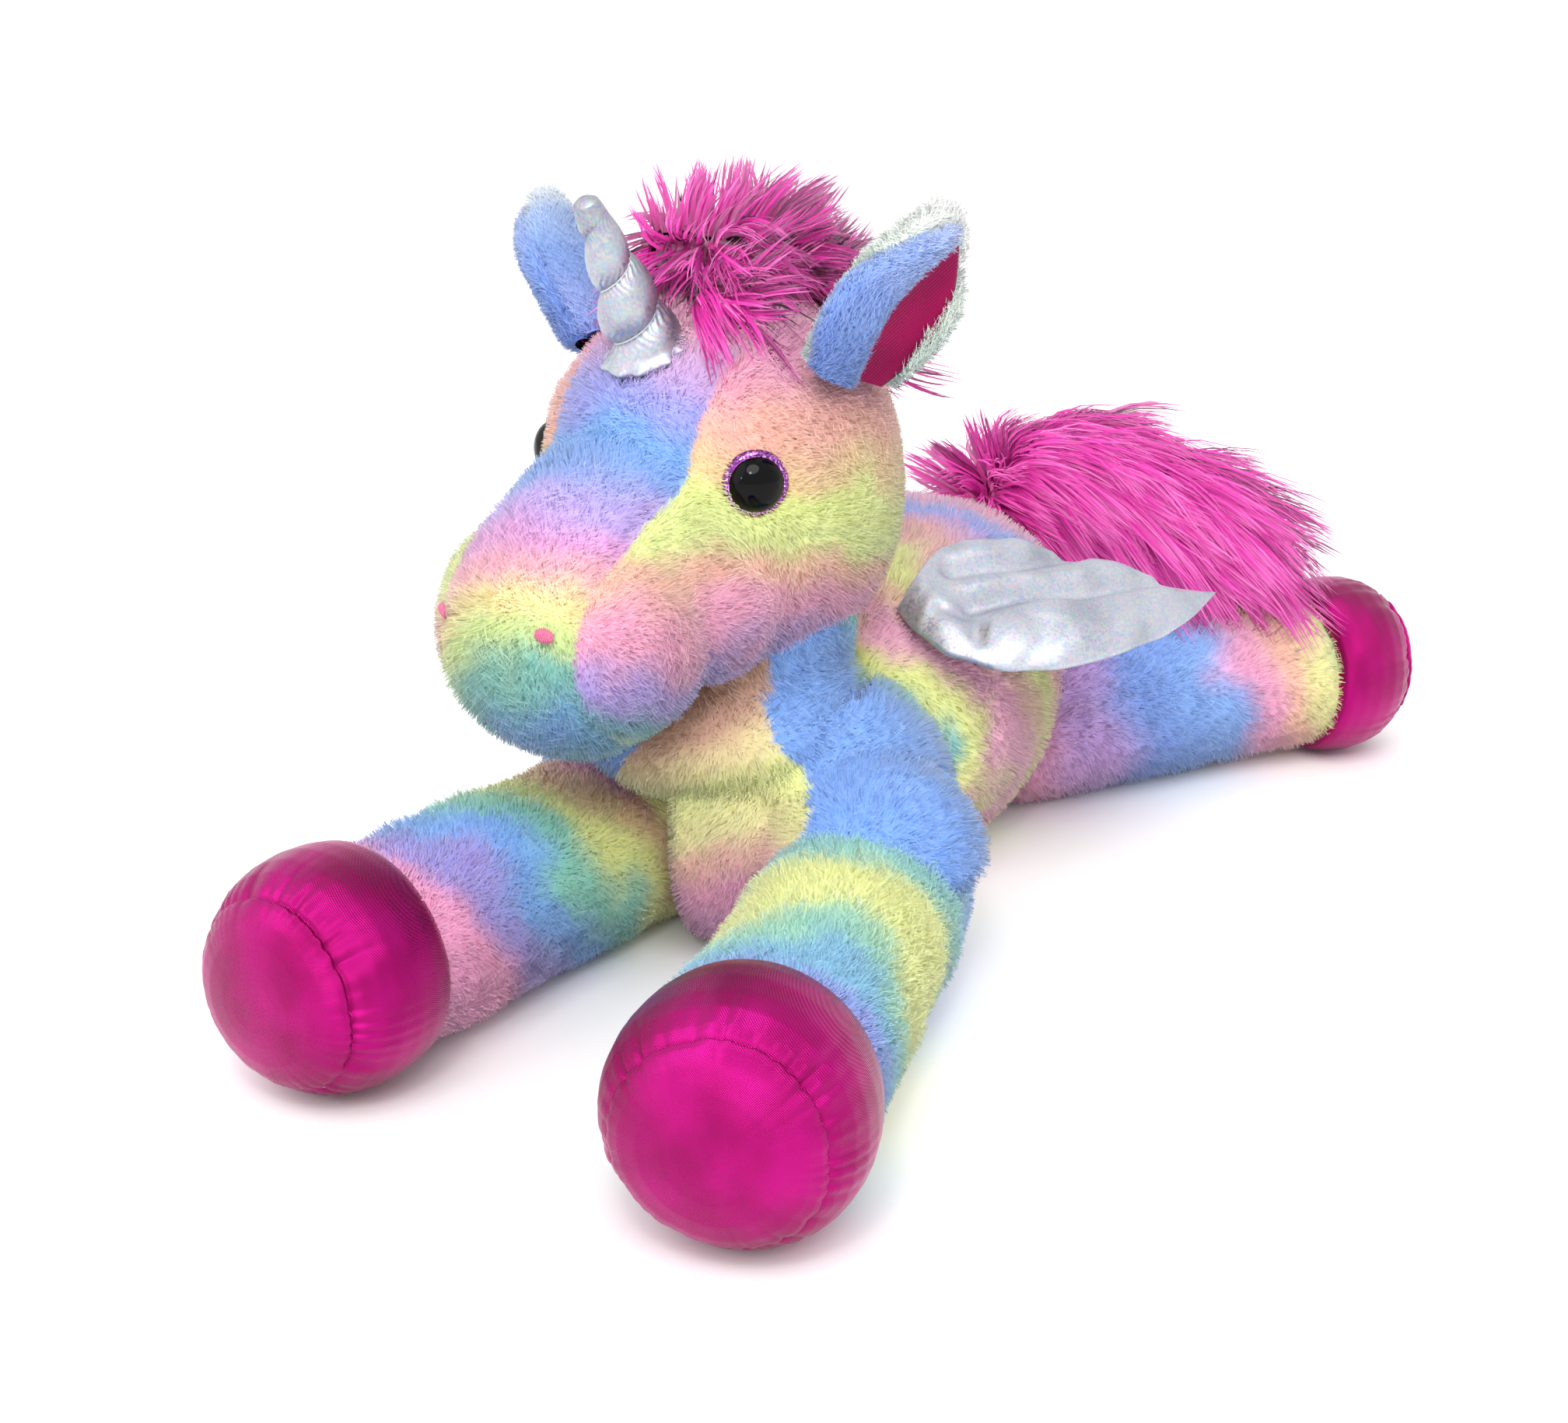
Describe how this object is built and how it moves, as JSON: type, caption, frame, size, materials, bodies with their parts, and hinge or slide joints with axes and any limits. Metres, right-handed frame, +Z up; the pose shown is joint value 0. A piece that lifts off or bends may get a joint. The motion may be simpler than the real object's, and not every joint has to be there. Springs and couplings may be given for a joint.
{
  "type": "plush unicorn",
  "caption": "Lying winged unicorn soft toy with splayed stuffed legs, satin hooves, quilted foil wings, a wound horn and a shaggy mane and tail.",
  "frame": {"origin": "middle of the flat patch of belly that the toy rests on, at floor height", "axes": "+Z up, -Y towards the head, +X towards the animal's left"},
  "size_m": [0.4808, 0.7161, 0.3497],
  "materials": {
    "rainbow_plush": "tie-dyed plush, matt pile",
    "polyester_fibre": "loose fibre",
    "hoof_satin": "shiny metallic satin",
    "ear_satin": "satin mesh",
    "silver_foil_cloth": "foil-printed cloth with a rainbow sheen",
    "winding_thread": "twisted thread",
    "eye_plastic": "polished",
    "eye_glitter": "glitter",
    "washer_plastic": "moulded",
    "nostril_thread": "satin stitch",
    "pink_long_pile": "long shaggy pile"
  },
  "bodies": {
    "torso": {"belly_panel": "rainbow_plush", "chest_panel": "rainbow_plush", "torso_left_panel": "rainbow_plush", "torso_right_panel": "rainbow_plush", "torso_fill": "polyester_fibre"},
    "neck": {"neck_sleeve": "rainbow_plush", "neck_fill": "polyester_fibre"},
    "head": {"head_middle_panel": "rainbow_plush", "chin_panel": "rainbow_plush", "left_cheek_panel": "rainbow_plush", "right_cheek_panel": "rainbow_plush", "head_fill": "polyester_fibre", "left_eye_dome": "eye_plastic", "left_eye_glitter_ring": "eye_glitter", "left_eye_lock_washer": "washer_plastic", "right_eye_dome": "eye_plastic", "right_eye_glitter_ring": "eye_glitter", "right_eye_lock_washer": "washer_plastic", "left_nostril_stitching": "nostril_thread", "right_nostril_stitching": "nostril_thread", "mane_long_pile": "pink_long_pile", "horn_cover": "silver_foil_cloth", "horn_fill": "polyester_fibre", "horn_thread": "winding_thread"},
    "front_left_leg": {"front_left_leg_sleeve": "rainbow_plush", "front_left_leg_fill": "polyester_fibre", "front_left_hoof_band": "hoof_satin", "front_left_hoof_sole": "hoof_satin"},
    "front_right_leg": {"front_right_leg_sleeve": "rainbow_plush", "front_right_leg_fill": "polyester_fibre", "front_right_hoof_band": "hoof_satin", "front_right_hoof_sole": "hoof_satin"},
    "hind_left_leg": {"hind_left_leg_sleeve": "rainbow_plush", "hind_left_leg_fill": "polyester_fibre", "hind_left_hoof_band": "hoof_satin", "hind_left_hoof_sole": "hoof_satin"},
    "hind_right_leg": {"hind_right_leg_sleeve": "rainbow_plush", "hind_right_leg_fill": "polyester_fibre", "hind_right_hoof_band": "hoof_satin", "hind_right_hoof_sole": "hoof_satin"},
    "left_wing": {"left_wing_top_foil": "silver_foil_cloth", "left_wing_bottom_foil": "silver_foil_cloth", "left_wing_batting": "polyester_fibre"},
    "left_ear": {"left_ear_plush": "rainbow_plush", "left_ear_lining": "ear_satin"},
    "right_wing": {"right_wing_top_foil": "silver_foil_cloth", "right_wing_bottom_foil": "silver_foil_cloth", "right_wing_batting": "polyester_fibre"},
    "right_ear": {"right_ear_plush": "rainbow_plush", "right_ear_lining": "ear_satin"},
    "tail": {"tail_long_pile": "pink_long_pile", "tail_fill": "polyester_fibre"}
  },
  "joints": [
    {"name": "neck_turn", "type": "hinge", "parent": "torso", "child": "neck", "pos_m": [-0.017, -0.098, 0.104], "axis": [0, 0, 1], "range_deg": [-30, 60]},
    {"name": "head_nod", "type": "hinge", "parent": "neck", "child": "head", "pos_m": [-0.017, -0.098, 0.158], "axis": [0.9659, -0.2588, 0], "range_deg": [-16, 8]},
    {"name": "front_left_leg_swing", "type": "hinge", "parent": "torso", "child": "front_left_leg", "pos_m": [0.066, -0.125, 0.04435], "axis": [0, 0, 1], "range_deg": [-8, 50]},
    {"name": "front_right_leg_swing", "type": "hinge", "parent": "torso", "child": "front_right_leg", "pos_m": [-0.066, -0.091, 0.04435], "axis": [0, 0, -1], "range_deg": [-8, 50]},
    {"name": "hind_left_leg_swing", "type": "hinge", "parent": "torso", "child": "hind_left_leg", "pos_m": [0.054, 0.122, 0.04335], "axis": [0, 0, 1], "range_deg": [-25, 40]},
    {"name": "hind_right_leg_swing", "type": "hinge", "parent": "torso", "child": "hind_right_leg", "pos_m": [-0.054, 0.122, 0.04335], "axis": [0, 0, -1], "range_deg": [-25, 40]},
    {"name": "left_wing_flap", "type": "hinge", "parent": "torso", "child": "left_wing", "pos_m": [0.04746, -0.006, 0.15476], "axis": [-0.0538, -0.9781, -0.2008], "range_deg": [-5, 60]},
    {"name": "right_wing_flap", "type": "hinge", "parent": "torso", "child": "right_wing", "pos_m": [-0.04746, -0.006, 0.15476], "axis": [-0.0538, 0.9781, 0.2008], "range_deg": [-5, 60]},
    {"name": "left_ear_fold", "type": "hinge", "parent": "head", "child": "left_ear", "pos_m": [0.04472, -0.11951, 0.27665], "axis": [0.4015, 0.8713, -0.2823], "range_deg": [-15, 30], "stiffness_Nm_per_rad": 0.02},
    {"name": "right_ear_fold", "type": "hinge", "parent": "head", "child": "right_ear", "pos_m": [-0.08121, -0.08577, 0.27665], "axis": [-0.088, -0.9553, 0.2823], "range_deg": [-15, 30], "stiffness_Nm_per_rad": 0.02},
    {"name": "tail_swing", "type": "hinge", "parent": "torso", "child": "tail", "pos_m": [0.004, 0.188, 0.142], "axis": [0, 0, 1], "range_deg": [-8, 95]}
  ]
}
